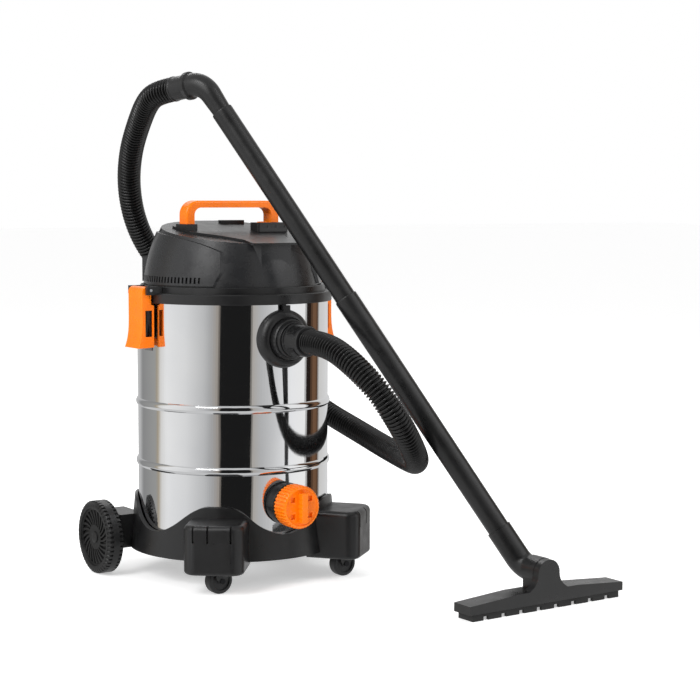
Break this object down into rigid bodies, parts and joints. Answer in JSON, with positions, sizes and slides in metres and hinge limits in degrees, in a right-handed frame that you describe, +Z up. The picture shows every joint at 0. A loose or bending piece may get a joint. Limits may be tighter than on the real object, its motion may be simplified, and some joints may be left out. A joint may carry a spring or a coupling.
{
  "type": "shop vacuum",
  "caption": "Wet and dry shop vacuum: polished drum on a wheeled base, latched motor head with carrying handle, corrugated hose, jointed wand and wide floor nozzle.",
  "frame": {"origin": "on the floor, on the drum's upright axis", "axes": "+Z up; -Y towards the side that carries the hose inlet and the drain; +X to the right seen from that side"},
  "size_m": [0.6388, 0.7897, 0.8549],
  "materials": {
    "stainless": "mirror-polished stainless sheet",
    "graphite": "satin moulded plastic, fine grain",
    "cover_grey": "satin moulded plastic, slightly lighter",
    "orange": "glossy moulded plastic",
    "hose_black": "soft corrugated plastic",
    "tube_grey": "satin extruded plastic",
    "wheel_plastic": "moulded wheel, dull",
    "caster_tread": "grey caster tread",
    "steel": "plain steel",
    "gasket": "soft seal",
    "copper_core": "laminated core with windings",
    "filter_fabric": "pleated filter cloth",
    "white_plastic": "plain light plastic",
    "strip_rubber": "floor strip",
    "aluminium": "cast aluminium"
  },
  "bodies": {
    "tank": {"drum": "stainless", "dolly_base": "graphite", "base_screws": "steel", "stub_axles": "steel", "inlet_flange": "graphite", "inlet_gasket": "gasket", "inlet_nut": "graphite", "inlet_deflector": "graphite", "hose_inlet_cuff": "graphite", "hose": "hose_black", "hose_wand_cuff": "graphite", "drain_spout": "graphite", "drain_nut": "graphite", "drain_gasket": "gasket", "latch_catches": "steel"},
    "head": {"lid_ring": "graphite", "lid_gasket": "gasket", "latch_pins": "steel", "head_cover": "cover_grey", "side_cover_left": "cover_grey", "side_cover_right": "cover_grey", "top_cap": "graphite", "handle": "orange", "switch_housing": "graphite", "blower_port": "graphite", "port_screws": "steel", "cord_gland": "gasket", "fan_housing": "aluminium", "motor_housing": "steel", "motor_stator": "copper_core", "bearings": "steel", "filter_cage": "white_plastic", "filter_sleeve": "filter_fabric", "float_cage": "white_plastic"},
    "rotor": {"rotor_shaft": "steel", "rotor_core": "copper_core", "impeller": "aluminium"},
    "float": {"float_ball": "white_plastic"},
    "rocker": {"switch_rocker": "orange"},
    "left_latch": {"latch_left": "orange", "latch_link_left": "graphite"},
    "right_latch": {"latch_right": "orange", "latch_link_right": "graphite"},
    "drain_carrier": {"drain_seal": "gasket"},
    "drain_closure": {"drain_cap": "orange"},
    "left_caster": {"caster_yoke_left": "graphite", "caster_axle_left": "steel"},
    "right_caster": {"caster_yoke_right": "graphite", "caster_axle_right": "steel"},
    "left_caster_wheel": {"caster_wheel_left": "caster_tread"},
    "right_caster_wheel": {"caster_wheel_right": "caster_tread"},
    "left_rear_wheel": {"rear_wheel_left": "wheel_plastic"},
    "right_rear_wheel": {"rear_wheel_right": "wheel_plastic"},
    "wand": {"wand_handle": "tube_grey", "upper_tube": "tube_grey", "lower_tube": "tube_grey", "nozzle_neck": "tube_grey"},
    "nozzle": {"nozzle_body": "tube_grey", "nozzle_strips": "strip_rubber"}
  },
  "joints": [
    {"name": "head_lift", "type": "slide", "parent": "tank", "child": "head", "axis": [0, 0, 1], "range_m": [0, 0.05]},
    {"name": "rotor_spin", "type": "hinge", "parent": "head", "child": "rotor", "pos_m": [0, 0, 0.54], "axis": [0, 0, 1], "continuous": true},
    {"name": "float_slide", "type": "slide", "parent": "head", "child": "float", "axis": [0, 0, 1], "range_m": [0, 0.012]},
    {"name": "switch_rock", "type": "hinge", "parent": "head", "child": "rocker", "pos_m": [0.052, -0.026, 0.602], "axis": [0, -1, 0], "range_deg": [0, 14]},
    {"name": "left_latch_swing", "type": "hinge", "parent": "head", "child": "left_latch", "pos_m": [-0.1785, 0, 0.494], "axis": [0, 1, 0], "range_deg": [0, 65]},
    {"name": "right_latch_swing", "type": "hinge", "parent": "head", "child": "right_latch", "pos_m": [0.1785, 0, 0.494], "axis": [0, -1, 0], "range_deg": [0, 65]},
    {"name": "drain_cap_travel", "type": "slide", "parent": "tank", "child": "drain_carrier", "axis": [0, -1, 0], "range_m": [0, 0.008]},
    {"name": "drain_cap_turn", "type": "hinge", "parent": "drain_carrier", "child": "drain_closure", "pos_m": [0, -0.2, 0.139], "axis": [0, -1, 0], "range_deg": [0, 720]},
    {"name": "left_caster_swivel", "type": "hinge", "parent": "tank", "child": "left_caster", "pos_m": [-0.128, -0.158, 0.05], "axis": [0, 0, 1], "continuous": true},
    {"name": "right_caster_swivel", "type": "hinge", "parent": "tank", "child": "right_caster", "pos_m": [0.128, -0.158, 0.05], "axis": [0, 0, 1], "continuous": true},
    {"name": "left_caster_spin", "type": "hinge", "parent": "left_caster", "child": "left_caster_wheel", "pos_m": [-0.123, -0.158, 0.022], "axis": [0, 1, 0], "continuous": true},
    {"name": "right_caster_spin", "type": "hinge", "parent": "right_caster", "child": "right_caster_wheel", "pos_m": [0.123, -0.158, 0.022], "axis": [0, 1, 0], "continuous": true},
    {"name": "left_wheel_spin", "type": "hinge", "parent": "tank", "child": "left_rear_wheel", "pos_m": [-0.211, 0.094, 0.063], "axis": [1, 0, 0], "continuous": true},
    {"name": "right_wheel_spin", "type": "hinge", "parent": "tank", "child": "right_rear_wheel", "pos_m": [0.211, 0.094, 0.063], "axis": [1, 0, 0], "continuous": true},
    {"name": "wand_swivel", "type": "hinge", "parent": "tank", "child": "wand", "pos_m": [-0.12, -0.059, 0.831], "axis": [0.3413, -0.9319, 0.1227], "range_deg": [0, 30]},
    {"name": "nozzle_swivel", "type": "hinge", "parent": "wand", "child": "nozzle", "pos_m": [0.253, -0.516, 0.058], "axis": [0, 1, 0], "range_deg": [-30, 30]}
  ],
  "couplings": [
    {"joint": "drain_cap_travel", "follows": "drain_cap_turn", "m_per_rad": 0.000636}
  ]
}
